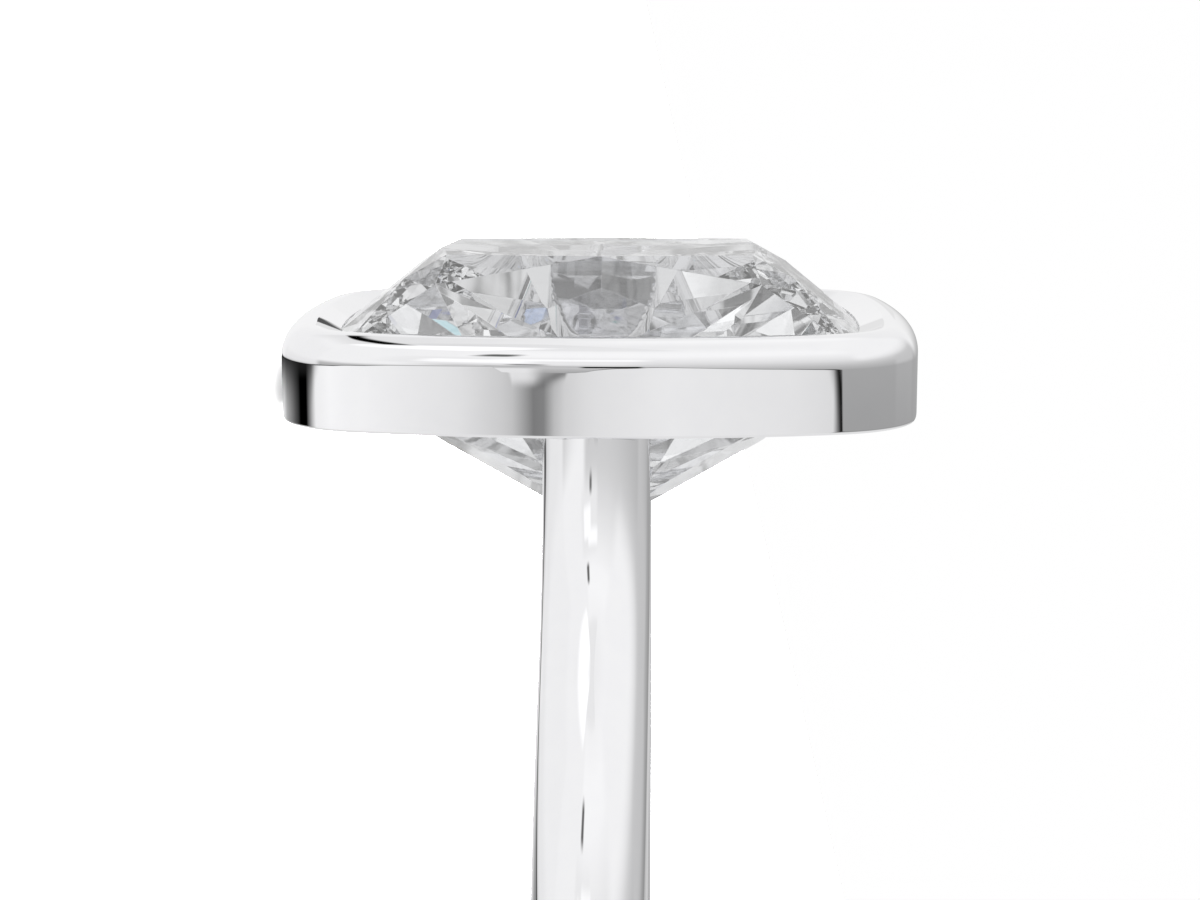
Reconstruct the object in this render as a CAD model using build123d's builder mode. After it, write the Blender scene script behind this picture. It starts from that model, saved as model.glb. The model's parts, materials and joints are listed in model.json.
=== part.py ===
"""Bezel set ring: a shank and bezel in one piece of metal, and an elongated cushion cut stone.

The ring is drawn upright about the middle of the bezel's underside: X along the finger,
Z up through the stone. At the end it is laid on its side, as a loose ring lies.
Lengths are in millimetres, angles in degrees.
"""

import os
from math import acos, atan2, cos, degrees, hypot, radians, sin, sqrt

from build123d import *

os.makedirs("parts", exist_ok=True)

# Bezel: a band whose outline is a cushion, four long arcs with rounded corners
bezel_length = 11.2
bezel_width = 8.86
bezel_height = 1.61
side_bow = 16.3  # radius of the two long sides
end_bow = 15.5  # radius of the two ends
corner_radius = 1.7
rim_rounding = 0.51  # outer edge of the rim
foot_rounding = 0.15  # outer edge of the underside
bezel_wall = 1.1  # thickness of the wall under the seat
rim_flat = 0.08  # level strip on top of the rim
crest_rounding = 0.15  # between that strip and the slope down to the stone
lip_height = 1.45  # height of the lip's inner edge
lip_overlap = 0.1  # how far the lip covers the stone

# Stone: heights are from the bezel's underside
setting_gap = 0.02  # all round the stone
girdle_inset = 0.88  # from the bezel's outside to the stone's girdle
girdle_height = 1.2  # underside of the girdle
girdle_thickness = 0.1
table_height = 2.745
culet_depth = 2.41
culet_size = 0.08  # the small flat at the stone's point
table_end = 2.85  # table corners: at the two ends, at the two sides, and at the four corners
table_side = 1.85
table_corner_x = 2.64
table_corner_y = 1.6
end_star_reach = 0.28  # star facets: share of the way down the crown
side_star_reach = 0.3
end_break = 0.55  # where two girdle facets meet: share of the arc from its middle to the corner
side_break = 0.5
end_pavilion_angle = 32.6  # slopes of the long facets that run to the point
side_pavilion_angle = 40.0
corner_pavilion_angle = 33.4
end_girdle_angle = 49.0  # slopes of the pavilion's girdle facets beside the ends, corners and sides
corner_end_girdle_angle = 46.4
corner_side_girdle_angle = 47.7
side_girdle_angle = 50.2

# Shank: half round outside, flat inside, with arms that curve up to the bezel
finger_diameter = 17.0
shank_width = 1.8
inside_depth = 0.7  # from the shank's widest line to its flat inside
inside_rounding = 0.45
finger_clearance = 0.29  # from the stone's point to the finger
arm_leave = 40.0  # how far round from the hoop's top the arms leave it
arm_setback = 0.03  # from the bezel's wall to the arm's outer side at the underside
arm_root = 0.3  # how far the arms' middle line runs up into the bezel
gallery_drop = 2.2  # the opening under the stone is carried this far down the arms

half_length = bezel_length / 2
half_width = bezel_width / 2
shank_radius = shank_width / 2
girdle_top = girdle_height + girdle_thickness

# Centres of the outline's arcs. An inset outline keeps them and only loses radius.
side_centre = half_width - side_bow
end_centre = half_length - end_bow


def corner_centre():
    """Centre of the corner arc, which touches a side arc and an end arc from inside."""
    to_side, to_end = side_bow - corner_radius, end_bow - corner_radius
    span = hypot(end_centre, side_centre)
    along = (span**2 + to_side**2 - to_end**2) / (2 * span)
    across = sqrt(to_side**2 - along**2)
    way_x, way_y = end_centre / span, -side_centre / span
    return (way_x * along + way_y * across, side_centre + way_y * along - way_x * across)


corner_x, corner_y = corner_centre()
end_angle = degrees(atan2(corner_y, corner_x - end_centre))
side_angle = degrees(atan2(corner_y - side_centre, corner_x))


def cushion(inset, height):
    """The bezel's outline moved in by inset, as a face at a height."""
    with BuildSketch(Plane.XY.offset(height)) as outline:
        with BuildLine():
            CenterArc((end_centre, 0), end_bow - inset, 0, end_angle)
            CenterArc((corner_x, corner_y), corner_radius - inset, end_angle, side_angle - end_angle)
            CenterArc((0, side_centre), side_bow - inset, side_angle, 90 - side_angle)
            mirror(about=Plane.YZ)
            mirror(about=Plane.XZ)
        make_face()
    return outline.sketch


# Points on the girdle's outline, where its facets meet
girdle_end_bow = end_bow - girdle_inset
girdle_side_bow = side_bow - girdle_inset
girdle_corner_radius = corner_radius - girdle_inset
corner_angle = (end_angle + side_angle) / 2


def on_arc(centre_x, centre_y, radius, angle, height):
    """Point at an angle round an arc's centre."""
    turn = radians(angle)
    return Vector(centre_x + radius * cos(turn), centre_y + radius * sin(turn), height)


def girdle_points(height):
    """The girdle's end, end break, corner, side break and side, in one quarter of the stone."""
    return {
        "end": on_arc(end_centre, 0, girdle_end_bow, 0, height),
        "end_break": on_arc(end_centre, 0, girdle_end_bow, end_angle * end_break, height),
        "corner": on_arc(corner_x, corner_y, girdle_corner_radius, corner_angle, height),
        "side_break": on_arc(
            0, side_centre, girdle_side_bow, 90 - (90 - side_angle) * side_break, height
        ),
        "side": on_arc(0, side_centre, girdle_side_bow, 90, height),
    }


def crown_facet(first, second, third):
    """Facet through three points, as a point and the normal that leaves the stone upwards."""
    normal = (second - first).cross(third - first).normalized()
    return first, normal if normal.Z > 0 else normal * -1


def pavilion_facet(point, run, slope):
    """Facet that holds a level line through a point and slopes in and down from it."""
    side = Vector(run.Y, -run.X, 0).normalized()
    if side.dot(Vector(point.X, point.Y, 0)) < 0:
        side = side * -1
    return point, side * sin(radians(slope)) - Vector(0, 0, cos(radians(slope)))


def meeting(facet_a, facet_b, height):
    """Point at a height on the line where two facets meet."""
    (point_a, normal_a), (point_b, normal_b) = facet_a, facet_b
    reach_a = normal_a.dot(point_a) - normal_a.Z * height
    reach_b = normal_b.dot(point_b) - normal_b.Z * height
    spread = normal_a.X * normal_b.Y - normal_a.Y * normal_b.X
    return Vector(
        (reach_a * normal_b.Y - reach_b * normal_a.Y) / spread,
        (normal_a.X * reach_b - normal_b.X * reach_a) / spread,
        height,
    )


def crown_facets():
    """Facets above the girdle in one quarter: long facets, stars and girdle facets."""
    girdle = girdle_points(girdle_top)
    table = {
        "end": Vector(table_end, 0, table_height),
        "corner": Vector(table_corner_x, table_corner_y, table_height),
        "side": Vector(0, table_side, table_height),
    }
    corner_run = Vector(-sin(radians(corner_angle)), cos(radians(corner_angle)), 0)
    run = {"end": Vector(0, 1, 0), "corner": corner_run, "side": Vector(1, 0, 0)}
    long_facets = {
        name: crown_facet(girdle[name], girdle[name] + run[name], table[name])
        for name in table
    }
    facets = list(long_facets.values())
    for name, reach in (("end", end_star_reach), ("side", side_star_reach)):
        height = table_height - reach * (table_height - girdle_top)
        star_point = meeting(long_facets[name], long_facets["corner"], height)
        facets.append(crown_facet(table[name], table["corner"], star_point))
        for neighbour in (name, "corner"):
            facets.append(crown_facet(girdle[neighbour], girdle[name + "_break"], star_point))
    return facets


def pavilion_facets():
    """Facets below the girdle in one quarter: long facets to the point, and girdle facets."""
    girdle = girdle_points(girdle_height)
    long_slopes = (
        (0, end_pavilion_angle),
        (corner_angle, corner_pavilion_angle),
        (90, side_pavilion_angle),
    )
    facets = []
    for way, slope in long_slopes:
        edge = on_arc(0, 0, culet_size / 2, way, -culet_depth)
        run = Vector(-sin(radians(way)), cos(radians(way)), 0)
        facets.append(pavilion_facet(edge, run, slope))
    girdle_slopes = (
        ("end", "end_break", end_girdle_angle),
        ("corner", "end_break", corner_end_girdle_angle),
        ("corner", "side_break", corner_side_girdle_angle),
        ("side", "side_break", side_girdle_angle),
    )
    for first, second, slope in girdle_slopes:
        facets.append(pavilion_facet(girdle[first], girdle[second] - girdle[first], slope))
    return facets


def cut_stone(growth):
    """The stone, grown by an even skin: a quarter of its block, cut facet by facet and mirrored."""
    with BuildPart() as stone:
        add(cushion(girdle_inset - growth, -culet_depth - growth))
        extrude(amount=culet_depth + table_height + 2 * growth, dir=(0, 0, 1))
        split(bisect_by=Plane.YZ, keep=Keep.TOP)
        split(bisect_by=Plane.XZ, keep=Keep.BOTTOM)
        for point, normal in crown_facets() + pavilion_facets():
            facet_plane = Plane(origin=point + normal * growth, z_dir=normal)
            split(bisect_by=facet_plane, keep=Keep.BOTTOM)
        mirror(about=Plane.YZ)
        mirror(about=Plane.XZ)
    return stone.part


# Shank's middle line: a hoop about the finger, and an arc from it up to each arm's foot
finger_radius = finger_diameter / 2
line_radius = finger_radius + inside_depth
finger_centre = -culet_depth - finger_clearance - finger_radius
arm_foot = half_width - arm_setback - shank_radius

with BuildPart() as center_stone:
    add(cut_stone(0))

with BuildPart() as ring_setting:
    # Bezel band with its outer edges rounded
    add(cushion(0, 0))
    extrude(amount=bezel_height, dir=(0, 0, 1))
    fillet(ring_setting.edges().group_by(Axis.Z)[-1], rim_rounding)
    fillet(ring_setting.edges().group_by(Axis.Z)[0], foot_rounding)
    # Slope from the rim down to the lip, with a softened crest
    loft(
        [cushion(girdle_inset + lip_overlap, lip_height), cushion(rim_rounding + rim_flat, bezel_height)],
        ruled=True,
        mode=Mode.SUBTRACT,
    )
    rim_top = ring_setting.faces().sort_by(Axis.Z)[-1]
    fillet(rim_top.inner_wires()[0].edges(), crest_rounding)
    # Shank and arms, run up into the band
    with BuildLine(Plane.YZ) as middle_line:
        hoop = CenterArc((0, finger_centre), line_radius, 90 - arm_leave, 2 * arm_leave - 360)
        arm = TangentArc(hoop @ 0, (arm_foot, 0), tangent=hoop % 0 * -1)
        root = Line(arm @ 1, arm @ 1 + arm % 1 * arm_root)
        mirror([arm, root], about=Plane.XZ)
    with BuildSketch(Plane(origin=root @ 1, x_dir=(1, 0, 0), z_dir=root % 1)) as section:
        with BuildLine():
            CenterArc((0, 0), shank_radius, 0, 180)
            Polyline(
                (-shank_radius, 0),
                (-shank_radius, -inside_depth),
                (shank_radius, -inside_depth),
                (shank_radius, 0),
            )
        make_face()
        fillet(section.vertices().group_by(Axis.Y)[0], inside_rounding)
    sweep(path=middle_line.wire())
    # Opening under the stone, opening above its girdle, and the seat cut to the stone
    for inset, bottom in ((bezel_wall, -gallery_drop), (girdle_inset + lip_overlap, girdle_top)):
        add(cushion(inset, bottom))
        extrude(amount=bezel_height - bottom, dir=(0, 0, 1), mode=Mode.SUBTRACT)
    add(cut_stone(setting_gap), mode=Mode.SUBTRACT)

# Resting pose: the rounded edge of the bezel's end and the far side of the hoop touch the floor
end_reach = half_length - foot_rounding
hoop_reach = line_radius - finger_centre + foot_rounding
lean = degrees(
    acos((shank_radius - foot_rounding) / hypot(end_reach, hoop_reach)) - atan2(hoop_reach, end_reach)
)
for piece in (ring_setting, center_stone):
    piece.part.locate(Location((0, 0, 0), (0, lean - 90, 0)))
box = Compound([ring_setting.part, center_stone.part]).bounding_box()
for piece in (ring_setting, center_stone):
    piece.part.locate(Pos(-box.center().X, 0, -box.min.Z) * piece.part.location)

ring_setting.part.label = "ring_setting"
export_step(ring_setting.part, "parts/ring_setting.step")
center_stone.part.label = "center_stone"
export_step(center_stone.part, "parts/center_stone.step")

print("lean of the finger's axis from upright:", round(lean, 3), "degrees")
print("finger's axis passes through:", ring_setting.part.location * Pos(0, 0, finger_centre))
print("bounding box:", Compound([ring_setting.part, center_stone.part]).bounding_box())
for piece in (ring_setting, center_stone):
    print(piece.part.label, "volume", round(piece.part.volume, 3), "mm3, solids", len(piece.solids()))
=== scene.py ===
import json
from itertools import combinations

import bpy
import numpy as np
from mathutils import Matrix


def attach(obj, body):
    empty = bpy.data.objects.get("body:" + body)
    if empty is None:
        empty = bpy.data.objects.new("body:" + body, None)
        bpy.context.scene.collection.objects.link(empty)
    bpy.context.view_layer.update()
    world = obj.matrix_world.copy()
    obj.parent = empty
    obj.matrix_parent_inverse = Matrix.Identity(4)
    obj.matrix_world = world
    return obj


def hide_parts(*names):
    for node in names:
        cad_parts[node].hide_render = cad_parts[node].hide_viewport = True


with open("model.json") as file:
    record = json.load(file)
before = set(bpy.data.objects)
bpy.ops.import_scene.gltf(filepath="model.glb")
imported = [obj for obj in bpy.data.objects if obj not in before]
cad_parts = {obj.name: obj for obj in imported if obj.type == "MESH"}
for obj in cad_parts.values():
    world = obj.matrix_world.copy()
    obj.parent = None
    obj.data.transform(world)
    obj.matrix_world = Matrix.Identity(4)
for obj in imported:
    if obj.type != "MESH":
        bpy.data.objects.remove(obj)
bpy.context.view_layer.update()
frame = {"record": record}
mm = 0.001

# The finger bore gives the ring's own frame, in millimetres: X along the finger, Z up through the
# stone, with zero in the middle of the bezel's underside. The ring lies on its side, so it is turned.
hoopCentre = -11.2
bore = frame["record"]["mounts"][0]
fingerAxis = np.array(bore["axis"], float)
fingerAxis /= np.linalg.norm(fingerAxis)
sideAxis = np.array([0.0, 1.0, 0.0])
headAxis = np.cross(fingerAxis, sideAxis)
ringAxes = np.array([fingerAxis, sideAxis, headAxis])
ringOrigin = np.array(bore["pos_m"]) - hoopCentre * mm * headAxis


def toFrame(points):
    # a point is the origin plus each of its coordinates along the ring's axes
    return ringOrigin + mm * np.asarray(points, float) @ ringAxes


def addPiece(name, points, faces, material, replaced, slot, sharpAngle):
    # points in ring millimetres become a closed mesh that rides with the ring
    mesh = bpy.data.meshes.new(name)
    mesh.from_pydata(toFrame(points).tolist(), [], faces)
    mesh.polygons.foreach_set("use_smooth", np.ones(len(mesh.polygons), bool))
    mesh.set_sharp_from_angle(angle=np.radians(sharpAngle))
    mesh.materials.append(material)
    piece = bpy.data.objects.new(name, mesh)
    bpy.context.scene.collection.objects.link(piece)
    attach(piece, "root")
    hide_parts(replaced)
    return piece


def gridFaces(rows, columns, closedRows):
    # each cell of the grid is a quad; columns always close on themselves, rows if asked
    index = np.arange(rows * columns).reshape(rows, columns)
    ahead = np.roll(index, -1, axis=0)
    if not closedRows:
        index, ahead = index[:-1], ahead[:-1]
    quads = np.stack([index, np.roll(index, -1, axis=1), np.roll(ahead, -1, axis=1), ahead], axis=-1)
    return quads.reshape(-1, 4).tolist()


def arc(centre, radius, start, end, count):
    # points at even angles round a centre, in degrees
    turn = np.radians(np.linspace(start, end, count))
    return np.stack([centre[0] + radius * np.cos(turn), centre[1] + radius * np.sin(turn)], axis=-1)


def straight(start, end, margin=0.012):
    # a straight run with a point just inside each end, so that shading there stays flat
    start, end = np.array(start, float), np.array(end, float)
    inward = (end - start) / np.linalg.norm(end - start) * margin
    return np.stack([start + inward, (start + end) / 2, end - inward])


def srgb(code):
    # hex to linear light: a straight foot, then a power of 2.4
    value = np.array([int(code[i : i + 2], 16) for i in (0, 2, 4)]) / 255
    linear = np.where(value <= 0.04045, value / 12.92, ((value + 0.055) / 1.055) ** 2.4)
    return (*linear.tolist(), 1.0)


def addNode(tree, kind, settings=None, **links):
    # adds a node: settings go on the node itself or on its sockets, and links join its sockets to other
    # nodes' outputs; a number in the settings, or i and a number in the links, counts the sockets
    node = tree.nodes.new(kind)
    for name, value in (settings or {}).items():
        if isinstance(name, str) and hasattr(node, name):
            setattr(node, name, value)
        else:
            node.inputs[name].default_value = value
    for name, source in links.items():
        counted = name[0] == "i" and name[1:].isdigit()
        tree.links.new(source, node.inputs[int(name[1:]) if counted else name])
    return node


metalFinish = {
    "tints": ("F5F5F6", "F1F1F3"),
    "ripple": 1.4,  # millimetres across
    "rippleDepth": 0.0006,  # millimetres
    "rippleDetail": 1.0,
    "patch": 0.4,  # millimetres across
    "patchDetail": 3.0,
    "patchSpan": (0.3, 0.7),  # the part of the noise over which the roughness runs
    "roughness": (0.006, 0.03),
}


def polishedMetal():
    # a hand buffed mirror: broad soft ripples left by the mop bend its reflections a little, and patches
    # of finer polish sharpen or blur them
    material = bpy.data.materials.new("whiteGoldHandBuffed")
    material.use_nodes = True
    tree = material.node_tree
    shader = tree.nodes["Principled BSDF"]
    shader.inputs["Metallic"].default_value = 1.0
    place = addNode(tree, "ShaderNodeTexCoord").outputs["Object"]
    grain = {"Scale": 1 / (metalFinish["ripple"] * mm), "Detail": metalFinish["rippleDetail"]}
    ripples = addNode(tree, "ShaderNodeTexNoise", grain, Vector=place).outputs["Fac"]
    grain = {"Scale": 1 / (metalFinish["patch"] * mm), "Detail": metalFinish["patchDetail"]}
    patches = addNode(tree, "ShaderNodeTexNoise", grain, Vector=place).outputs["Fac"]
    depth = {"Strength": 1.0, "Distance": metalFinish["rippleDepth"] * mm}
    bump = addNode(tree, "ShaderNodeBump", depth, Height=ripples)
    tree.links.new(bump.outputs["Normal"], shader.inputs["Normal"])
    (low, high), (smooth, dull) = metalFinish["patchSpan"], metalFinish["roughness"]
    limits = {"From Min": low, "From Max": high, "To Min": smooth, "To Max": dull}
    rough = addNode(tree, "ShaderNodeMapRange", limits, Value=patches)
    tree.links.new(rough.outputs["Result"], shader.inputs["Roughness"])
    first, second = metalFinish["tints"]
    shades = {"data_type": "RGBA", 6: srgb(first), 7: srgb(second)}
    tint = addNode(tree, "ShaderNodeMix", shades, i0=patches)
    tree.links.new(tint.outputs[2], shader.inputs["Base Color"])
    return material


stoneFinish = {
    "tints": ("FFFFFF", "FAFCFF"),
    "drift": 1.2,  # millimetres across
    "driftDetail": 2.0,
    "ior": 2.417,
}


def diamond():
    # a clear cut stone: its facets are polished dead flat, so that they show sharp pieces of the tent,
    # and a trace of cooler body colour drifts through it
    material = bpy.data.materials.new("diamondFacetPolished")
    material.use_nodes = True
    tree = material.node_tree
    shader = tree.nodes["Principled BSDF"]
    for name, value in (("Transmission Weight", 1.0), ("IOR", stoneFinish["ior"]), ("Roughness", 0.0)):
        shader.inputs[name].default_value = value
    place = addNode(tree, "ShaderNodeTexCoord").outputs["Object"]
    grain = {"Scale": 1 / (stoneFinish["drift"] * mm), "Detail": stoneFinish["driftDetail"]}
    drift = addNode(tree, "ShaderNodeTexNoise", grain, Vector=place).outputs["Fac"]
    first, second = stoneFinish["tints"]
    shades = {"data_type": "RGBA", 6: srgb(first), 7: srgb(second)}
    tint = addNode(tree, "ShaderNodeMix", shades, i0=drift)
    tree.links.new(tint.outputs[2], shader.inputs["Base Color"])
    return material


metalMaterial = polishedMetal()
stoneMaterial = diamond()
print("materials made")

# the bezel's outline from above, in millimetres and degrees: four bows with tight corners between them
outline = {
    "length": 11.2,
    "width": 8.86,
    "sideBow": 16.3,
    "endBow": 15.5,
    "corner": 1.7,
    "cornerFrom": 9.38,  # the normal's direction, from the finger axis, where the end bow stops
    "cornerTo": 75.26,  # and where the side bow starts
    "blend": 9.0,  # degrees over which one bow eases into the next
    "steps": 720,
}


def cushionQuarter():
    # the outline from its bow: the radius is a smooth function of the normal's angle, and the points are
    # the running sum of the radius along the tangent, scaled to the band's length and width
    turn = np.linspace(0, 90, outline["steps"] + 1)
    ease = lambda place: np.clip((turn - place) / outline["blend"] + 0.5, 0, 1)
    first, second = ease(outline["cornerFrom"]), ease(outline["cornerTo"])
    first, second = first**2 * (3 - 2 * first), second**2 * (3 - 2 * second)
    bows = np.log([outline["endBow"], outline["corner"], outline["sideBow"]])
    radius = np.exp(bows[0] + (bows[1] - bows[0]) * first + (bows[2] - bows[1]) * second)
    way = np.radians(turn)
    stepX, stepY = -radius * np.sin(way), radius * np.cos(way)
    width = way[1] - way[0]
    x = np.concatenate([[0], np.cumsum((stepX[1:] + stepX[:-1]) / 2)]) * width
    y = np.concatenate([[0], np.cumsum((stepY[1:] + stepY[:-1]) / 2)]) * width
    return turn, (x - x[-1]) * outline["length"] / 2 / -x[-1], y * outline["width"] / 2 / y[-1]


quarterTurn, quarterX, quarterY = cushionQuarter()


def cushionPoints(angles, inset):
    # the outline where its normal points at an angle, moved in by the inset along that normal
    way = np.radians(angles)
    folded = np.degrees(np.arctan2(np.abs(np.sin(way)), np.abs(np.cos(way))))
    x = np.sign(np.cos(way)) * np.interp(folded, quarterTurn, quarterX) - inset * np.cos(way)
    y = np.sign(np.sin(way)) * np.interp(folded, quarterTurn, quarterY) - inset * np.sin(way)
    return x, y


def cushionAngles(endSteps, cornerSteps, sideSteps):
    # angles of the outline's normal, closer together on the long bows
    first, second, blend = outline["cornerFrom"], outline["cornerTo"], outline["blend"] / 2
    quarter = np.concatenate([
        np.linspace(0, first - blend, endSteps, endpoint=False),
        np.linspace(first - blend, first + blend, endSteps, endpoint=False),
        np.linspace(first + blend, second - blend, cornerSteps, endpoint=False),
        np.linspace(second - blend, second + blend, sideSteps, endpoint=False),
        np.linspace(second + blend, 90, sideSteps, endpoint=False),
    ])
    back = (180 - np.append(quarter[1:], 90))[::-1]
    half = np.concatenate([quarter, back])
    return np.concatenate([half, half + 180])


# millimetres; an inset is measured inward from the outline
bezel = {
    "height": 1.61,
    "rimRounding": 0.51,
    "footRounding": 0.05,
    "wall": 1.1,
    "rimFlat": 0.08,
    "rimMargin": 0.004,
    "crestRounding": 0.15,
    "lipHeight": 1.43,
    "lipInset": 1.015,
    "lipThickness": 0.03,
    "seatInset": 0.85,
    "seatTop": 1.33,
    "seatBottom": 1.17,
    "seatFoot": 0.87,
    "steps": (30, 36, 36),  # along a quarter's end bow, corner and side bow
    "arcSteps": (6, 40, 12),  # round the foot, the rim and the crest
    "sharpAngle": 35,
}


def bezelProfile():
    # inset and height round the band's section: underside, wall, rounded rim, slope, lip and seat
    foot, rim, top = bezel["footRounding"], bezel["rimRounding"], bezel["height"]
    footSteps, rimSteps, crestSteps = bezel["arcSteps"]
    crestInset = rim + bezel["rimFlat"]
    slope = np.degrees(np.arctan2(top - bezel["lipHeight"], bezel["lipInset"] - crestInset))
    reach = bezel["crestRounding"] * np.tan(np.radians(slope / 2))
    crestCentre = (crestInset - reach, top - bezel["crestRounding"])
    downSlope = np.array([np.cos(np.radians(slope)), -np.sin(np.radians(slope))])
    crestEnd = np.array([crestInset, top]) + reach * downSlope
    lip = (bezel["lipInset"], bezel["lipHeight"])
    parts = [
        straight((bezel["wall"], 0), (foot, 0)),
        arc((foot, foot), foot, 270, 180, footSteps),
        straight((0, foot), (0, top - rim)),
        arc((rim, top - rim), rim, 180, 90, rimSteps),
        straight((rim, top), (crestCentre[0], top), bezel["rimMargin"]),
        arc(crestCentre, bezel["crestRounding"], 90, 90 - slope, crestSteps),
        straight(crestEnd, lip),
        [lip, (bezel["lipInset"], bezel["lipHeight"] - bezel["lipThickness"])],
        [(bezel["seatInset"], bezel["seatTop"]), (bezel["seatInset"], bezel["seatBottom"])],
        [(bezel["wall"], bezel["seatFoot"]), (bezel["wall"], 0)],
    ]
    return np.concatenate([np.asarray(part, float) for part in parts])


def bezelBand():
    # the section carried round the outline: each of its points follows the outline at its own inset
    profile = bezelProfile()
    angles = cushionAngles(*bezel["steps"])
    x, y = cushionPoints(angles[:, None], profile[None, :, 0])
    points = np.stack([x, y, np.broadcast_to(profile[:, 1], x.shape)], axis=-1).reshape(-1, 3)
    faces = gridFaces(*x.shape, closedRows=True)
    addPiece("bezelBand", points, faces, metalMaterial, "ring_setting", "polished_metal", bezel["sharpAngle"])


bezelBand()
print("bezel made")

# millimetres and degrees
shank = {
    "halfWidth": 0.9,
    "insideDepth": 0.7,
    "insideRounding": 0.45,
    "lineRadius": 9.2,
    "armLeave": 40.0,  # degrees from the stone, where the arm leaves the hoop
    "armRoot": 0.3,
    "armTopLean": 11.5,  # degrees from upright under the bezel
    "armEase": 1.052,  # under 1 leans over sooner
    "armLength": 4.939,
    "galleryDrop": 2.2,  # how far below the bezel the arms keep clear of the opening
    "outsideSteps": 49,
    "insideSteps": 12,
    "rootSteps": 4,
    "armSteps": 90,
    "hoopSteps": 300,
    "sharpAngle": 35,
}


def shankProfile():
    # across and outward round the section: half round outside, straight sides, flat inside
    wide, deep, bend = shank["halfWidth"], shank["insideDepth"], shank["insideRounding"]
    low, steps = -deep + bend, shank["insideSteps"]
    return np.concatenate([
        arc((0, 0), wide, 0, 180, shank["outsideSteps"]),
        straight((-wide, 0), (-wide, low)),
        arc((bend - wide, low), bend, 180, 270, steps),
        straight((bend - wide, -deep), (wide - bend, -deep)),
        arc((wide - bend, low), bend, 270, 360, steps),
        straight((wide, low), (wide, 0)),
    ])


def shankLine():
    # middle line and outward normals: a hoop, then an arm whose lean eases from the hoop's to nearly
    # upright under the bezel, summed step by step, and a short straight root inside the bezel
    centre, radius, leave = np.array([0, hoopCentre]), shank["lineRadius"], shank["armLeave"]
    along = np.linspace(0, 1, shank["armSteps"])
    eased = along ** shank["armEase"]
    eased = eased**2 * (3 - 2 * eased)
    lean = np.radians(shank["armTopLean"] + (90 - leave - shank["armTopLean"]) * eased)
    way = np.stack([np.sin(lean), -np.cos(lean)], axis=-1)
    steps = (way[1:] + way[:-1]) / 2 * shank["armLength"] / (shank["armSteps"] - 1)
    hoop = arc(centre, radius, 90 - leave, -90, shank["hoopSteps"] // 2)
    arm = hoop[0] - np.cumsum(steps[::-1], axis=0)[::-1]
    armOut = np.stack([np.cos(lean), np.sin(lean)], axis=-1)[:-1]
    lift = np.linspace(shank["armRoot"], 0, shank["rootSteps"], endpoint=False)[:, None]
    root = arm[0] - lift * way[0]
    rootOut = np.repeat(armOut[:1], shank["rootSteps"], axis=0)
    half = np.concatenate([root, arm, hoop])
    halfOut = np.concatenate([rootOut, armOut, (hoop - centre) / radius])
    other = np.array([-1, 1])
    line = np.concatenate([half, half[-2::-1] * other])
    out = np.concatenate([halfOut, halfOut[-2::-1] * other])
    return line, out


def shankHoop():
    # the section carried along the middle line, kept clear of the opening under the stone
    profile = shankProfile()
    line, out = shankLine()
    x = np.broadcast_to(profile[:, 0], (len(line), len(profile)))
    y = line[:, :1] + profile[:, 1] * out[:, :1]
    z = line[:, 1:] + profile[:, 1] * out[:, 1:]
    openingBow = outline["sideBow"] - bezel["wall"]
    opening = outline["width"] / 2 - outline["sideBow"] + np.sqrt(openingBow**2 - x**2)
    y = np.where(z > -shank["galleryDrop"], np.sign(y) * np.maximum(np.abs(y), opening), y)
    points = np.stack([x, y, z], axis=-1).reshape(-1, 3)
    rows, columns = x.shape
    faces = gridFaces(rows, columns, closedRows=False)
    faces.append(list(range(columns))[::-1])
    faces.append([(rows - 1) * columns + i for i in range(columns)])
    addPiece("shankHoop", points, faces, metalMaterial, "ring_setting", "polished_metal", shank["sharpAngle"])


shankHoop()
print("shank made")

# millimetres and degrees, for one quarter of the stone; the others mirror it
stone = {
    "girdleInset": 0.88,
    "girdleHeight": 1.2,
    "girdleThickness": 0.1,
    "girdleSteps": (4, 8, 4),
    "tableHeight": 2.745,
    "culetDepth": 2.41,
    "culetSize": 0.08,
    "tableEnd": 2.85,
    "tableSide": 1.85,
    "tableCorner": (2.64, 1.6),
    "endStar": 0.28,  # share of the crown's height that the star facets take
    "sideStar": 0.3,
    "endBreak": 0.55,  # where the facets along the girdle meet, as a share of each bow
    "sideBreak": 0.5,
    "longSlopes": (32.6, 33.4, 40.0),  # the pavilion's end, corner and side
    "girdleSlopes": (49.0, 46.4, 47.7, 50.2),
    # small extra facets: direction round the stone, slope, and depth cut off the furthest corner
    "extraFacets": (
        (0, 41.5, 0.05), (16, 39.0, 0.05), (34, 40.5, 0.06), (52, 42.0, 0.05), (72, 43.5, 0.05),
        (90, 44.5, 0.05), (24, 30.0, 0.03), (62, 35.0, 0.03), (8, 35.5, 0.03), (82, 41.8, 0.03),
        (44, 46.0, 0.04),
    ),
    "bevel": 0.012,  # the polished edges between facets that catch the light
    "bevelAngle": 2,  # edges flatter than this stay as they are
    "sharpAngle": 1,
    "nearAxis": 0.001,  # just off the outline's axes, where its sign is clear
    "slack": 1e-6,  # rounding that a corner may show over a facet
    "onFacet": 2e-4,  # a corner this close to a facet lies on it
    "cornerPlaces": 4,  # decimals that corners and planes are kept to
    "planePlaces": 9,
}


def planeThrough(a, b, c):
    # the plane through three points: its upward normal, and how far out along that normal it lies
    normal = np.cross(b - a, c - a)
    normal /= np.linalg.norm(normal)
    normal = normal if normal[2] > 0 else -normal
    return np.append(normal, normal @ a)


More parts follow.
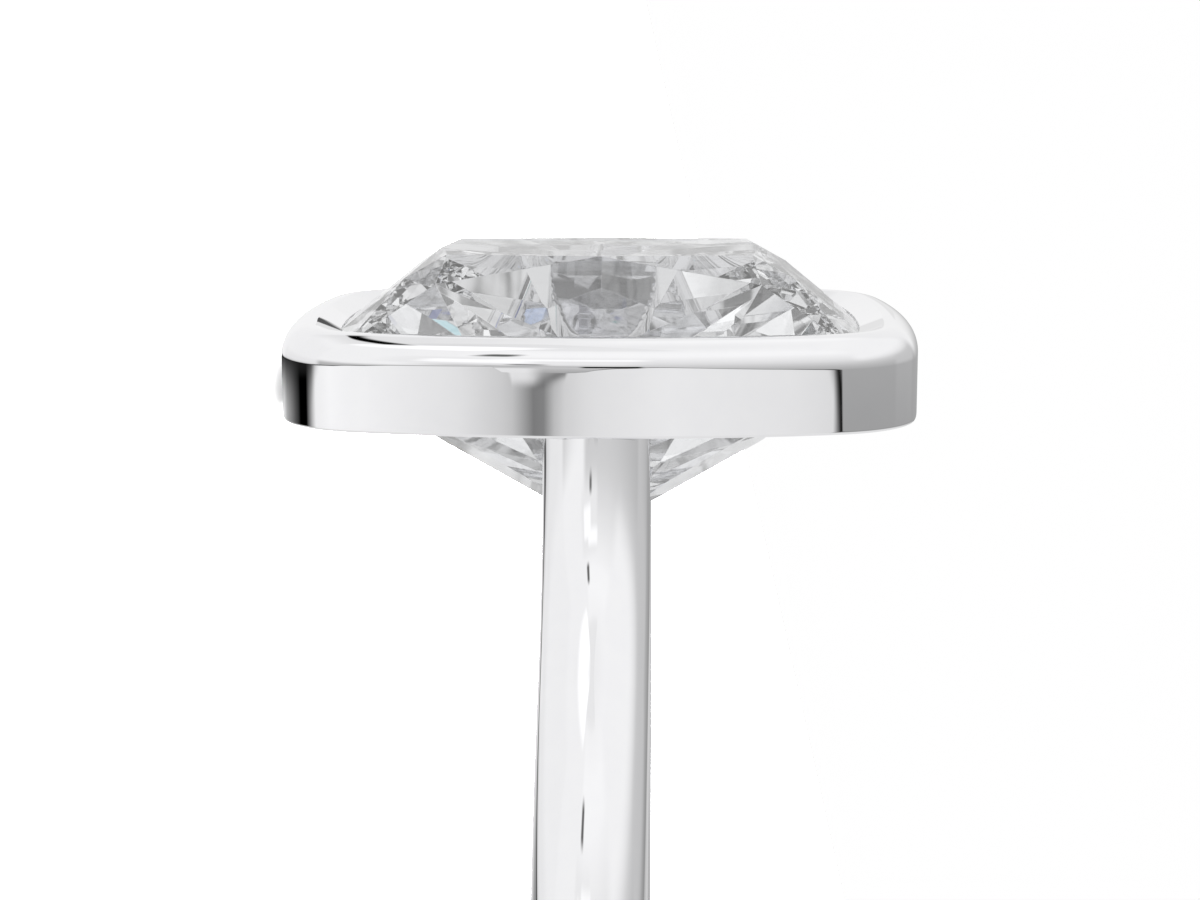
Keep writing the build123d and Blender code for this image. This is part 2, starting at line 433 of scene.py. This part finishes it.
def planeBelow(point, run, slope):
    # a facet of the pavilion through a point and along a level run, as steep as its slope: the normal
    # leans from straight down toward the outward side
    side = np.array([run[1], -run[0], 0.0])
    side /= np.linalg.norm(side)
    side = side if side @ [point[0], point[1], 0] > 0 else -side
    normal = side * np.sin(np.radians(slope)) - np.array([0, 0, np.cos(np.radians(slope))])
    return np.append(normal, normal @ point)


def girdlePoint(angle, height):
    # the point of the girdle's outline where its normal points at an angle
    x, y = cushionPoints(np.array([angle]), stone["girdleInset"])
    return np.array([x[0], y[0], height])


def mirrored(planes):
    # the planes of one quarter with both signs of X and Y, each plane once
    signs = np.array([[x, y, 1, 1] for x in (1, -1) for y in (1, -1)])
    whole = (np.array(planes)[None] * signs[:, None]).reshape(-1, 4)
    return np.unique(np.round(whole, stone["planePlaces"]) + 0.0, axis=0)


def stonePlanes():
    # each facet of a quarter as a normal and a reach, mirrored to the other three quarters
    cornerAngle = (outline["cornerFrom"] + outline["cornerTo"]) / 2
    angles = {
        "end": stone["nearAxis"],
        "endBreak": outline["cornerFrom"] * stone["endBreak"],
        "corner": cornerAngle,
        "sideBreak": 90 - (90 - outline["cornerTo"]) * stone["sideBreak"],
        "side": 90 - stone["nearAxis"],
    }
    girdleTop = stone["girdleHeight"] + stone["girdleThickness"]
    top = {name: girdlePoint(angle, girdleTop) for name, angle in angles.items()}
    low = {name: girdlePoint(angle, stone["girdleHeight"]) for name, angle in angles.items()}
    top["end"][1] = low["end"][1] = top["side"][0] = low["side"][0] = 0
    height = stone["tableHeight"]
    table = {
        "end": np.array([stone["tableEnd"], 0, height]),
        "corner": np.array([*stone["tableCorner"], height]),
        "side": np.array([0, stone["tableSide"], height]),
    }
    turn = np.radians(cornerAngle)
    run = {
        "end": np.array([0, 1.0, 0]),
        "corner": np.array([-np.sin(turn), np.cos(turn), 0]),
        "side": np.array([1.0, 0, 0]),
    }

    # the crown: a main facet from girdle to table on the end, corner and side, then the stars and the
    # facets along the girdle, which meet where two main facets cross at the star's level
    mains = {name: planeThrough(top[name], top[name] + run[name], table[name]) for name in table}
    planes = list(mains.values())
    for name in ("end", "side"):
        level = height - stone[name + "Star"] * (height - girdleTop)
        pair = np.array([mains[name], mains["corner"]])
        starXY = np.linalg.solve(pair[:, :2], pair[:, 3] - pair[:, 2] * level)
        star = np.append(starXY, level)
        planes.append(planeThrough(table[name], table["corner"], star))
        planes += [planeThrough(top[side], top[name + "Break"], star) for side in (name, "corner")]

    # the pavilion: long facets that run to the culet, and facets along the girdle
    reach = stone["culetSize"] / 2
    for name, way, slope in zip(("end", "corner", "side"), (0, cornerAngle, 90), stone["longSlopes"]):
        way = np.radians(way)
        point = np.array([reach * np.cos(way), reach * np.sin(way), -stone["culetDepth"]])
        planes.append(planeBelow(point, run[name], slope))
    pairs = (("end", "endBreak"), ("corner", "endBreak"), ("corner", "sideBreak"), ("side", "sideBreak"))
    for (first, second), slope in zip(pairs, stone["girdleSlopes"]):
        planes.append(planeBelow(low[first], low[second] - low[first], slope))

    table, culet = np.array([0, 0, 1, height]), np.array([0, 0, -1, stone["culetDepth"]])
    return mirrored([*planes, table, culet])


def girdlePlanes():
    # upright planes along chords of the girdle's outline
    angles = cushionAngles(*stone["girdleSteps"])
    x, y = cushionPoints(angles, stone["girdleInset"])
    here = np.stack([x, y], axis=-1)
    ahead = np.roll(here, -1, axis=0)
    step = ahead - here
    normal = np.stack([step[:, 1], -step[:, 0]], axis=-1)
    normal /= np.linalg.norm(normal, axis=1)[:, None]
    return np.column_stack([normal, np.zeros(len(normal)), (normal * here).sum(axis=1)])


def stoneCorners(facets, rounds):
    # three facets meet in a point; the stone's corners are the points that no other facet cuts off
    planes = np.concatenate([facets, rounds])
    count, total = len(facets), len(planes)
    triples = [*combinations(range(count), 3)]
    triples += [(a, b, c) for c in range(count, total) for a, b in combinations(range(count), 2)]
    around = np.arange(count, total)
    triples += [(a, b, c) for a, b in zip(around, np.roll(around, -1)) for c in range(count)]
    triples = np.array(triples)
    normals, reach = planes[triples][..., :3], planes[triples][..., 3]
    meets = np.abs(np.linalg.det(normals)) > stone["slack"]
    points = np.linalg.solve(normals[meets], reach[meets][..., None])[..., 0]
    inside = (points @ planes[:, :3].T <= planes[:, 3] + stone["slack"]).all(axis=1)
    corners = np.round(points[inside], stone["cornerPlaces"]) + 0.0
    return planes, np.unique(corners, axis=0)


def extraPlanes(corners):
    # each plane lies its cut below the corner that is furthest out along its direction
    way, slope, cut = np.array(stone["extraFacets"]).T
    way, slope = np.radians(way), np.radians(slope)
    normals = [np.cos(way) * np.sin(slope), np.sin(way) * np.sin(slope), -np.cos(slope)]
    normals = np.stack(normals, axis=-1)
    reach = (normals @ corners.T).max(axis=1) - cut
    return mirrored(np.column_stack([normals, reach]))


def cutStone():
    # the facets are cut first, then the small extra ones; each face is its corners, sorted by their
    # angle about the face's middle
    facets, rounds = stonePlanes(), girdlePlanes()
    facets = np.concatenate([facets, extraPlanes(stoneCorners(facets, rounds)[1])])
    planes, corners = stoneCorners(facets, rounds)
    aslant = [0.31, 0.53, 0.79]  # any direction that no facet faces
    faces = []
    for normal, far in zip(planes[:, :3], planes[:, 3]):
        on = np.flatnonzero(np.abs(corners @ normal - far) < stone["onFacet"])
        if len(on) > 2:
            spread = corners[on] - corners[on].mean(axis=0)
            first = np.cross(normal, aslant)
            second = np.cross(normal, first)
            faces.append(on[np.argsort(np.arctan2(spread @ second, spread @ first))].tolist())
    names = ("center_stone", "clear_stone")
    piece = addPiece("cushionStone", corners, faces, stoneMaterial, *names, stone["sharpAngle"])
    piece.data.polygons.foreach_set("use_smooth", np.zeros(len(piece.data.polygons), bool))
    edges = piece.modifiers.new("facetEdges", "BEVEL")
    edges.width, edges.segments = stone["bevel"] * mm, 1
    edges.angle_limit = np.radians(stone["bevelAngle"])
    print("stone has", len(faces), "facets and", len(corners), "corners")


cutStone()
print("stone made")

floorPaper = {
    "half": 1.5,  # metres
    "tints": ("F9F9F9", "F4F4F3"),
    "grain": 0.6,  # millimetres across
    "grainDetail": 3.0,
    "roughness": 0.9,
}


def studioFloor():
    # a square of matt uncoated paper off the roll: a fine grain in its white, which shows only close up
    mesh = bpy.data.meshes.new("studioFloor")
    half = floorPaper["half"]
    corners = [(-half, -half, 0), (half, -half, 0), (half, half, 0), (-half, half, 0)]
    mesh.from_pydata(corners, [], [(0, 1, 2, 3)])
    material = bpy.data.materials.new("paperMattUncoated")
    material.use_nodes = True
    tree = material.node_tree
    shader = tree.nodes["Principled BSDF"]
    shader.inputs["Roughness"].default_value = floorPaper["roughness"]
    place = addNode(tree, "ShaderNodeTexCoord").outputs["Object"]
    settings = {"Scale": 1 / (floorPaper["grain"] * mm), "Detail": floorPaper["grainDetail"]}
    grain = addNode(tree, "ShaderNodeTexNoise", settings, Vector=place).outputs["Fac"]
    first, second = floorPaper["tints"]
    shades = {"data_type": "RGBA", 6: srgb(first), 7: srgb(second)}
    tint = addNode(tree, "ShaderNodeMix", shades, i0=grain)
    tree.links.new(tint.outputs[2], shader.inputs["Base Color"])
    mesh.materials.append(material)
    floor = bpy.data.objects.new("studioFloor", mesh)
    bpy.context.scene.collection.objects.link(floor)
    floor.visible_glossy = False
    floor.visible_transmission = False


tent = {
    # turn in degrees from the front, positive to the right: screen value of the cards round the ring
    "cards": (
        (-180, 205), (-152, 225), (-138, 165), (-116, 86), (-106, 0), (-94, 0), (-89, 130), (-80, 238),
        (-60, 247), (-34, 241), (-20, 225), (-13, 198), (-9.7, 118), (-9, 95), (-8, 150), (-6.5, 203),
        (-2, 222), (8, 233), (24, 227), (33, 217), (34.1, 40), (35.2, 40), (36.6, 118), (48, 129),
        (63, 141), (79, 153), (108, 165), (137, 182), (180, 205),
    ),
    # upper edge of the cards, in degrees of rise by turn, within a range, and how soft it is
    "edge": (
        (-180, -7.6), (-86, -7.6), (-55, -5.0), (-34, 0), (-29, 5), (-22, 8), (-15.5, 11), (-14, -8.5),
        (-9.4, -8.5), (-7.5, -8.38), (-5.5, -8.25), (-3, -7), (-1, 2), (1, 6.5), (4, 7.5), (6, 10.5),
        (8, 10), (13, 6), (21, -1), (28, -5.6), (32, -7.2), (35, -8.6), (38, -14), (180, -14),
    ),
    "edgeRange": (-20.0, 20.0),
    "softness": ((-180, 0.8), (-17, 0.8), (-13, 0.15), (-5, 0.1), (0, 0.8), (180, 0.8)),
    # the thin dark line along that edge: its width, and its strength by turn
    "lineWidth": 1.0,
    "line": (
        (-180, 1), (-34, 1), (-28, 0.7), (-17, 0.6), (-14, 0), (-9.6, 0.0), (-8, 0.5), (-3, 0.6),
        (0, 1), (7, 1), (12, 0.7), (22, 0.8), (37, 1), (39, 0), (180, 0),
    ),
    # what the metal shows above the edge: brightness by rise in degrees, then soft boxes and dark flags,
    # each a turn, rise, half width, half height, softness, screen value and share
    "metalCloth": (
        (-90, 200), (-14, 140), (-9, 160), (-6, 172), (0, 182), (5, 190), (10, 200), (15, 208),
        (20, 218), (30, 230), (40, 238), (50, 246), (60, 247), (75, 241), (90, 235),
    ),
    "metalBoxes": (
        (-100, 38, 70, 26, 11, 241, 1.0),
        (-14, 30, 14, 8, 8, 234, 1.0),
        (100, 46, 40, 14, 22, 242, 1.0),
        (-125, 20, 45, 22, 9, 238, 0.85),
        (-70, 82, 90, 6, 6, 230, 0.8),
        (-64, 74, 26, 5, 6, 262, 1.0),
        (-6, 35.5, 9, 1, 5, 256, 1.0),
        (-19, 29.5, 6, 4, 4, 256, 1.0),
        (-20, 51.5, 1.5, 2.5, 4.0, 60, 0.9),
        (-15, -2, 4, 6, 3, 228, 1.0),
        (-8, 12, 8, 0.1, 1.2, 130, 0.9),
        (0.7, 10.4, 3.4, 1.9, 1.4, 0, 1.0),
        (-11, 18.3, 1.0, 0.5, 3.0, 80, 0.85),
        (180, 22, 26, 14, 16, 236, 1.0),
        (-180, 16, 34, 20, 9, 238, 1.0),
        (-177.6, 6.8, 0.45, 0.6, 0.45, 60, 0.95),
        (180, 4.6, 8, 1.1, 0.5, 222, 1.0),
        (-180, 4.6, 5, 1.1, 0.5, 222, 1.0),
        (122, 3, 15, 4, 10, 196, 0.8),
    ),
    # what the clear stone sends on, in the same form, where a hex colour gives its fire
    "stoneCloth": (
        (-90, 175), (-55, 190), (-30, 210), (0, 200), (30, 232), (50, 232), (58, 190), (67, 60), (90, 20),
    ),
    "stoneBoxes": (
        (-5, 72, 22, 9, 6, 10, 0.95),
        (-39, 36, 4, 5, 3, 60, 0.85),
        (112, -26, 5, 4, 3, 60, 0.85),
        (180, 60, 22, 9, 5, 45, 0.95),
        (-180, 60, 20, 9, 5, 45, 0.95),
        (20, -70, 24, 9, 6, 50, 0.9),
        (-10, -24, 11, 6, 4, 85, 0.9),
        (-35, -68, 4, 1.5, 2, "A9C4F2", 0.7),
        (-139, -11, 4, 3, 3, "2A3F8C", 0.9),
        (-139, 5, 4, 2, 2, "3A57B0", 0.7),
        (75, -54, 1.2, 0.5, 1.0, "8CD8E4", 0.5),
        (-150, -15, 3, 2, 2, "4FA7A5", 0.8),
        (-109, -34, 3, 1.5, 1.5, 20, 1.0),
        (-160.2, -15, 0.4, 3, 2.4, 255, 1.0),
        (-26, 35, 4, 20, 4, 255, 1.0),
        (70, 30, 6, 20, 6, 255, 1.0),
    ),
    # the stone's upright streaks: their size in degrees, the noise that makes them, and their shade
    "strips": {
        "width": 2.6,
        "height": 14.0,
        "noise": {"Scale": 1.0, "Detail": 4.0, "Roughness": 0.65, "Distortion": 0.5},
        "from": 0.4,
        "to": 0.5,
        "dark": 35,
        "share": 0.9,
    },
    # the overhead seam: a dark strip in the plane that leans this far to the left, and its strength by
    # the angle round that plane
    "seamLean": 16.7,
    "seamOffset": -0.01,
    "seamRun": ((-180, 0), (38, 0), (47, 1.0), (86, 1.0), (92, 0.0), (180, 0)),
    # its dark core and the faint shade round it: inner and outer width, and strength
    "seamParts": ((0.0, 0.32, 0.14), (0.012, 0.032, 1.0)),
    # the screen value of the ground, and the degrees of rise over which it takes over
    "ground": 225,
    "groundRise": (-32.0, -14.0),
    "metalShare": 0.9,  # how much of its light the metal sends back
    "fill": 25.0,  # strength of the even light on the floor
}


def light(value):
    # a screen value of 0 to 255, or a hex colour, as linear light over what the metal sends back; past
    # 255 it grows by the screen's own power
    code = value if isinstance(value, str) else f"{min(max(round(value), 0), 255):02x}" * 3
    over = max(value / 255, 1) ** 2.4 if not isinstance(value, str) else 1
    return (*(channel * over / tent["metalShare"] for channel in srgb(code)[:3]), 1)


def plain(value):
    # a number as a shade of its own size
    return (value, value, value, 1)


def rampStops(ramp, pairs, low, high, shade):
    # the ramp's stops: each place in the range from low to high carries its shade
    stops = ramp.color_ramp.elements
    while len(stops) < len(pairs):
        stops.new(0.5)
    for stop, (place, value) in zip(list(stops), pairs):
        stop.position = (place - low) / (high - low)
    for stop, (place, value) in zip(sorted(stops, key=lambda item: item.position), sorted(pairs)):
        stop.color = shade(value)


def tentSky(tree, name, place, upward):
    # the cloth's brightness by rise, with the boxes laid over it one by one
    cloth = addNode(tree, "ShaderNodeValToRGB", Fac=upward)
    rampStops(cloth, tent[name + "Cloth"], -90, 90, light)
    sky = cloth.outputs["Color"]
    for boxTurn, boxRise, wide, high, soft, value, share in tent[name + "Boxes"]:
        # a rounded rectangle: how far a direction lies outside it, eased from full to nothing
        middle = {"operation": "SUBTRACT", 1: (boxTurn, boxRise, 0)}
        offset = addNode(tree, "ShaderNodeVectorMath", middle, i0=place).outputs[0]
        aside = addNode(tree, "ShaderNodeVectorMath", {"operation": "ABSOLUTE"}, i0=offset).outputs[0]
        half = {"operation": "SUBTRACT", 1: (wide, high, 0)}
        beyond = addNode(tree, "ShaderNodeVectorMath", half, i0=aside).outputs[0]
        floor = {"operation": "MAXIMUM", 1: (0, 0, 0)}
        outside = addNode(tree, "ShaderNodeVectorMath", floor, i0=beyond).outputs[0]
        reach = addNode(tree, "ShaderNodeVectorMath", {"operation": "LENGTH"}, i0=outside).outputs["Value"]
        limits = {"interpolation_type": "SMOOTHSTEP", "From Max": soft, "To Min": share, "To Max": 0.0}
        part = addNode(tree, "ShaderNodeMapRange", limits, Value=reach).outputs["Result"]
        shade = {"data_type": "RGBA", 7: light(value)}
        sky = addNode(tree, "ShaderNodeMix", shade, i0=part, i6=sky).outputs[2]
    return sky


def tentCards(tree, around, rise, sky):
    # the cards stand up to their edge, with the sky above it; over is how far a direction lies over the
    # edge, in widths of its softness, and the dark line fades with it both ways
    low, high = tent["edgeRange"]
    edge = addNode(tree, "ShaderNodeValToRGB", Fac=around)
    rampStops(edge, tent["edge"], -180, 180, lambda place: plain((place - low) / (high - low)))
    limits = {"To Min": low, "To Max": high}
    edgeRise = addNode(tree, "ShaderNodeMapRange", limits, Value=edge.outputs["Color"]).outputs["Result"]
    over = addNode(tree, "ShaderNodeMath", {"operation": "SUBTRACT"}, i0=rise, i1=edgeRise).outputs[0]
    softness = addNode(tree, "ShaderNodeValToRGB", Fac=around)
    rampStops(softness, tent["softness"], -180, 180, plain)
    softness = softness.outputs["Color"]
    over = addNode(tree, "ShaderNodeMath", {"operation": "DIVIDE"}, i0=over, i1=softness).outputs[0]
    cards = addNode(tree, "ShaderNodeValToRGB", Fac=around)
    rampStops(cards, tent["cards"], -180, 180, light)
    limits = {"interpolation_type": "SMOOTHSTEP", "From Min": -1.0, "From Max": 1.0}
    above = addNode(tree, "ShaderNodeMapRange", limits, Value=over).outputs["Result"]
    cards = cards.outputs["Color"]
    whole = addNode(tree, "ShaderNodeMix", {"data_type": "RGBA"}, i0=above, i6=cards, i7=sky).outputs[2]

    distance = addNode(tree, "ShaderNodeMath", {"operation": "ABSOLUTE"}, i0=over).outputs[0]
    fade = 2 * tent["lineWidth"]
    limits = {"interpolation_type": "SMOOTHSTEP", "From Max": fade, "To Min": 1.0, "To Max": 0.0}
    line = addNode(tree, "ShaderNodeMapRange", limits, Value=distance).outputs["Result"]
    strength = addNode(tree, "ShaderNodeValToRGB", Fac=around)
    rampStops(strength, tent["line"], -180, 180, plain)
    strength = strength.outputs["Color"]
    line = addNode(tree, "ShaderNodeMath", {"operation": "MULTIPLY"}, i0=line, i1=strength).outputs[0]
    return whole, line


def tentSeam(tree, way, backward):
    # how far a direction lies off the seam's plane, and where round that plane it lies
    lean = np.radians(tent["seamLean"])
    sideways = fingerAxis * np.cos(lean) + headAxis * np.sin(lean)
    overhead = headAxis * np.cos(lean) - fingerAxis * np.sin(lean)
    along = {"operation": "DOT_PRODUCT", 1: tuple(sideways)}
    off = addNode(tree, "ShaderNodeVectorMath", along, i0=way).outputs["Value"]
    shift = {"operation": "SUBTRACT", 1: tent["seamOffset"]}
    off = addNode(tree, "ShaderNodeMath", shift, i0=off).outputs[0]
    off = addNode(tree, "ShaderNodeMath", {"operation": "ABSOLUTE"}, i0=off).outputs[0]
    along = {"operation": "DOT_PRODUCT", 1: tuple(overhead)}
    high = addNode(tree, "ShaderNodeVectorMath", along, i0=way).outputs["Value"]
    angle = addNode(tree, "ShaderNodeMath", {"operation": "ARCTAN2"}, i0=high, i1=backward).outputs[0]
    angle = addNode(tree, "ShaderNodeMath", {"operation": "DEGREES"}, i0=angle).outputs[0]
    limits = {"From Min": -180.0, "From Max": 180.0}
    run = addNode(tree, "ShaderNodeMapRange", limits, Value=angle).outputs["Result"]
    strength = addNode(tree, "ShaderNodeValToRGB", Fac=run)
    rampStops(strength, tent["seamRun"], -180, 180, plain)
    strength = strength.outputs["Color"]
    darks = []
    for inner, outer, share in tent["seamParts"]:
        limits = {"From Min": inner, "From Max": outer, "To Min": share, "To Max": 0.0}
        limits["interpolation_type"] = "SMOOTHSTEP"
        near = addNode(tree, "ShaderNodeMapRange", limits, Value=off).outputs["Result"]
        dark = addNode(tree, "ShaderNodeMath", {"operation": "MULTIPLY"}, i0=near, i1=strength)
        darks.append(dark.outputs[0])
    return darks


def stoneStreaks(tree, place, sky):
    # a noise drawn out upward makes upright strips, darker where it is low
    strips = tent["strips"]
    narrow = {"operation": "MULTIPLY", 1: (1 / strips["width"], 1 / strips["height"], 0)}
    drawn = addNode(tree, "ShaderNodeVectorMath", narrow, i0=place).outputs[0]
    noise = addNode(tree, "ShaderNodeTexNoise", strips["noise"], Vector=drawn).outputs["Fac"]
    limits = {"From Min": strips["from"], "From Max": strips["to"], "To Min": strips["share"], "To Max": 0.0}
    limits["interpolation_type"] = "SMOOTHSTEP"
    part = addNode(tree, "ShaderNodeMapRange", limits, Value=noise).outputs["Result"]
    shade = {"data_type": "RGBA", 7: light(strips["dark"])}
    return addNode(tree, "ShaderNodeMix", shade, i0=part, i6=sky).outputs[2]


def studioWorld():
    # a light tent that belongs to the ring: brightness by turn and rise about the ring's own axes
    world = bpy.data.worlds.new("softStudio")
    world.use_nodes = True
    tree = world.node_tree
    tree.nodes.clear()
    way = addNode(tree, "ShaderNodeTexCoord").outputs["Generated"]
    parts = [
        addNode(tree, "ShaderNodeVectorMath", {"operation": "DOT_PRODUCT", 1: tuple(axis)}, i0=way)
        for axis in ringAxes
    ]
    x, y, z = [part.outputs["Value"] for part in parts]
    # turn is the angle of the level part from the front, rise is the angle over the level
    front = addNode(tree, "ShaderNodeMath", {"operation": "MULTIPLY", 1: -1.0}, i0=y).outputs[0]
    angle = addNode(tree, "ShaderNodeMath", {"operation": "ARCTAN2"}, i0=x, i1=front).outputs[0]
    turn = addNode(tree, "ShaderNodeMath", {"operation": "DEGREES"}, i0=angle).outputs[0]
    angle = addNode(tree, "ShaderNodeMath", {"operation": "ARCSINE"}, i0=z).outputs[0]
    rise = addNode(tree, "ShaderNodeMath", {"operation": "DEGREES"}, i0=angle).outputs[0]
    place = addNode(tree, "ShaderNodeCombineXYZ", X=turn, Y=rise).outputs[0]
    limits = {"From Min": -180.0, "From Max": 180.0}
    around = addNode(tree, "ShaderNodeMapRange", limits, Value=turn).outputs["Result"]
    limits = {"From Min": -90.0, "From Max": 90.0}
    upward = addNode(tree, "ShaderNodeMapRange", limits, Value=rise).outputs["Result"]

    # the metal sees the sky over the cards, darkened by the line and the seam, and the ground below
    metalSky = tentSky(tree, "metal", place, upward)
    stoneSky = tentSky(tree, "stone", place, upward)
    whole, line = tentCards(tree, around, rise, metalSky)
    for dark in [line, *tentSeam(tree, way, y)]:
        black = {"data_type": "RGBA", 7: (0, 0, 0, 1)}
        whole = addNode(tree, "ShaderNodeMix", black, i0=dark, i6=whole).outputs[2]
    low, high = tent["groundRise"]
    limits = {"From Min": low, "From Max": high, "To Min": 1.0, "To Max": 0.0}
    limits["interpolation_type"] = "SMOOTHSTEP"
    below = addNode(tree, "ShaderNodeMapRange", limits, Value=rise).outputs["Result"]
    ground = {"data_type": "RGBA", 7: light(tent["ground"])}
    whole = addNode(tree, "ShaderNodeMix", ground, i0=below, i6=whole).outputs[2]
    streaked = stoneStreaks(tree, place, stoneSky)

    # the stone's rays, the floor's light and the camera each get their own backdrop, all else the tent
    path = addNode(tree, "ShaderNodeLightPath")
    shown = addNode(tree, "ShaderNodeBackground", {"Strength": 1.0}, Color=whole).outputs[0]
    even = {"Color": (1, 1, 1, 1), "Strength": tent["fill"]}
    white = {"Color": (1, 1, 1, 1), "Strength": 1.0}
    backdrops = (
        ("Transmission Depth", addNode(tree, "ShaderNodeBackground", {"Strength": 1.0}, Color=streaked)),
        ("Is Diffuse Ray", addNode(tree, "ShaderNodeBackground", even)),
        ("Is Camera Ray", addNode(tree, "ShaderNodeBackground", white)),
    )
    for ray, backdrop in backdrops:
        asked, seen = path.outputs[ray], backdrop.outputs[0]
        shown = addNode(tree, "ShaderNodeMixShader", i0=asked, i1=shown, i2=seen).outputs[0]
    addNode(tree, "ShaderNodeOutputWorld", Surface=shown)
    bpy.context.scene.world = world


camera = {
    "place": (1.0628, -43.4729, 6.7733),  # ring millimetres
    "yaw": 1.44,  # degrees
    "elevation": 10.09,
    "lens": 72.82,  # millimetres of lens for a sensor of this width
    "sensor": 36.0,
    "clip": (0.001, 20),  # metres
}


def addCamera():
    # the photograph's camera, held to the ring: back points from the ring to the lens
    yaw, rise = np.radians(camera["yaw"]), np.radians(camera["elevation"])
    back = np.array([np.sin(yaw) * np.cos(rise), -np.cos(yaw) * np.cos(rise), np.sin(rise)])
    right = np.array([np.cos(yaw), np.sin(yaw), 0])
    axes = np.array([right, np.cross(back, right), back]) @ ringAxes
    data = bpy.data.cameras.new("photoCamera")
    data.sensor_width, data.lens = camera["sensor"], camera["lens"]
    data.clip_start, data.clip_end = camera["clip"]
    item = bpy.data.objects.new("photoCamera", data)
    bpy.context.scene.collection.objects.link(item)
    matrix = np.eye(4)
    matrix[:3, :3], matrix[:3, 3] = axes.T, toFrame(camera["place"])
    item.matrix_world = Matrix(matrix.tolist())
    bpy.context.scene.camera = item


# light bounces on inside the cut stone until it finds its way out
bounces = {"max_bounces": 22, "glossy_bounces": 20, "transmission_bounces": 12}

studioFloor()
studioWorld()
addCamera()
bpy.context.scene.view_settings.view_transform = "Standard"
for name, count in bounces.items():
    setattr(bpy.context.scene.cycles, name, count)
print("studio made")
